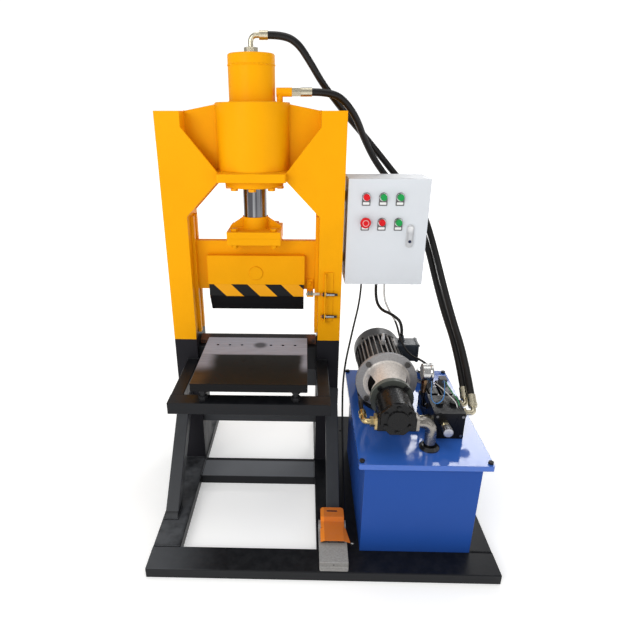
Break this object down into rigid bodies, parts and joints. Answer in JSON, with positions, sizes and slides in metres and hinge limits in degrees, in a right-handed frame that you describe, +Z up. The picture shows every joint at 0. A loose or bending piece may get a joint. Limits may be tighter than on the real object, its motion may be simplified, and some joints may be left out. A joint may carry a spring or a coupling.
{
  "type": "stone splitting machine",
  "caption": "Hydraulic stone splitting press with a rocking blade on a guided ram, a steel table, a control box, a power pack with motor and pump, and a foot switch.",
  "frame": {"origin": "middle of the base on the floor", "axes": "+X to the operator's right, +Y away from the operator, +Z up"},
  "size_m": [1.214, 0.96, 1.748],
  "materials": {
    "yellow_paint": "satin",
    "black_paint": "satin",
    "bare_steel": "satin",
    "rod_chrome": "polished",
    "blade_steel": "satin",
    "fastener_steel": "satin",
    "box_paint": "satin",
    "blue_paint": "gloss",
    "motor_black": "satin",
    "cast_silver": "satin",
    "pump_black": "satin",
    "zinc_fitting": "satin",
    "shaft_steel": "satin",
    "valve_black": "satin",
    "coil_plastic": "matte",
    "chrome_trim": "polished",
    "black_plastic": "matte",
    "grey_plastic": "matte",
    "red_plastic": "gloss",
    "green_plastic": "gloss",
    "switch_grey": "matte",
    "orange_paint": "satin",
    "hose_rubber": "matte",
    "cable_rubber": "matte"
  },
  "bodies": {
    "frame": {"front_beam": "black_paint", "skids": "black_paint", "deck_plate": "black_paint", "columns": "yellow_paint", "column_plates": "yellow_paint", "struts": "black_paint", "guide_strips": "yellow_paint", "anvil_beam": "black_paint", "table_frame": "black_paint", "table_plate": "bare_steel", "lower_blade": "blade_steel", "seat_plate": "yellow_paint", "jacket": "yellow_paint", "barrel": "yellow_paint", "gland": "yellow_paint", "frame_bolts": "fastener_steel", "sensor_bracket": "yellow_paint", "sensors": "black_plastic", "box_shell": "box_paint", "box_bars": "black_paint", "switchgear": "grey_plastic", "tank_shell": "blue_paint", "tank_lid": "blue_paint", "motor_frame": "motor_black", "fan_cover": "motor_black", "bell_housing": "cast_silver", "pump": "pump_black", "port_fittings": "zinc_fitting", "valve_block": "valve_black", "valve_coils": "coil_plastic", "gauge": "chrome_trim", "switch_body": "switch_grey", "hose_top": "hose_rubber", "hose_side": "hose_rubber", "pump_hose": "hose_rubber", "motor_cable": "cable_rubber", "valve_cable": "cable_rubber", "foot_cable": "cable_rubber"},
    "ram": {"piston_rod": "rod_chrome", "piston": "shaft_steel", "rod_flange": "yellow_paint", "head_bolts": "fastener_steel", "ram_beam": "yellow_paint", "trigger_arm": "fastener_steel"},
    "blade": {"blade_cheeks": "yellow_paint", "pivot_pin": "yellow_paint", "upper_blade": "blade_steel"},
    "door": {"box_door": "box_paint", "door_fittings": "black_plastic"},
    "lock": {"lock_lever": "cast_silver"},
    "drive": {"drive_shaft": "shaft_steel"},
    "relief": {"relief_knob": "chrome_trim"},
    "filler": {"filler_cap": "chrome_trim"},
    "pedal": {"foot_pedal": "orange_paint"},
    "button_red_upper_body": {"button_red_upper": "red_plastic"},
    "button_green_upper_middle_body": {"button_green_upper_middle": "green_plastic"},
    "button_green_upper_right_body": {"button_green_upper_right": "green_plastic"},
    "button_red_lower_body": {"button_red_lower": "red_plastic"},
    "button_green_lower_body": {"button_green_lower": "green_plastic"},
    "emergency_stop_body": {"emergency_stop": "red_plastic"}
  },
  "joints": [
    {"name": "ram_slide", "type": "slide", "parent": "frame", "child": "ram", "axis": [0, 0, 1], "range_m": [-0.1, 0.08]},
    {"name": "blade_rock", "type": "hinge", "parent": "ram", "child": "blade", "pos_m": [-0.262, 0.22, 0.897], "axis": [0, 1, 0], "range_deg": [-2.5, 2.5]},
    {"name": "door_hinge", "type": "hinge", "parent": "frame", "child": "door", "pos_m": [0.0935, 0.1495, 1.066], "axis": [0, 0, 1], "range_deg": [-100, 0]},
    {"name": "button_red_upper_press", "type": "slide", "parent": "door", "child": "button_red_upper_body", "axis": [0, 1, 0], "range_m": [0, 0.004], "stiffness_N_per_m": 400, "springref_m": -0.004},
    {"name": "button_green_upper_middle_press", "type": "slide", "parent": "door", "child": "button_green_upper_middle_body", "axis": [0, 1, 0], "range_m": [0, 0.004], "stiffness_N_per_m": 400, "springref_m": -0.004},
    {"name": "button_green_upper_right_press", "type": "slide", "parent": "door", "child": "button_green_upper_right_body", "axis": [0, 1, 0], "range_m": [0, 0.004], "stiffness_N_per_m": 400, "springref_m": -0.004},
    {"name": "button_red_lower_press", "type": "slide", "parent": "door", "child": "button_red_lower_body", "axis": [0, 1, 0], "range_m": [0, 0.004], "stiffness_N_per_m": 400, "springref_m": -0.004},
    {"name": "button_green_lower_press", "type": "slide", "parent": "door", "child": "button_green_lower_body", "axis": [0, 1, 0], "range_m": [0, 0.004], "stiffness_N_per_m": 400, "springref_m": -0.004},
    {"name": "emergency_stop_press", "type": "slide", "parent": "door", "child": "emergency_stop_body", "axis": [0, 1, 0], "range_m": [0, 0.005], "stiffness_N_per_m": 800, "springref_m": -0.004},
    {"name": "lock_turn", "type": "hinge", "parent": "door", "child": "lock", "pos_m": [0.325, 0.144, 1.068], "axis": [0, 1, 0], "range_deg": [0, 90]},
    {"name": "drive_spin", "type": "hinge", "parent": "frame", "child": "drive", "pos_m": [0.238, 0.13, 0.567], "axis": [0, 1, 0], "continuous": true},
    {"name": "relief_turn", "type": "hinge", "parent": "frame", "child": "relief", "pos_m": [0.415, -0.265, 0.5], "axis": [0, 1, 0], "range_deg": [-360, 360]},
    {"name": "filler_lift", "type": "slide", "parent": "frame", "child": "filler", "axis": [0, 0, 1], "range_m": [0, 0.045]},
    {"name": "pedal_press", "type": "hinge", "parent": "frame", "child": "pedal", "pos_m": [0.0405, -0.312, 0.086], "axis": [1, 0, 0], "range_deg": [0, 5], "stiffness_Nm_per_rad": 12, "springref_deg": -3.44}
  ]
}
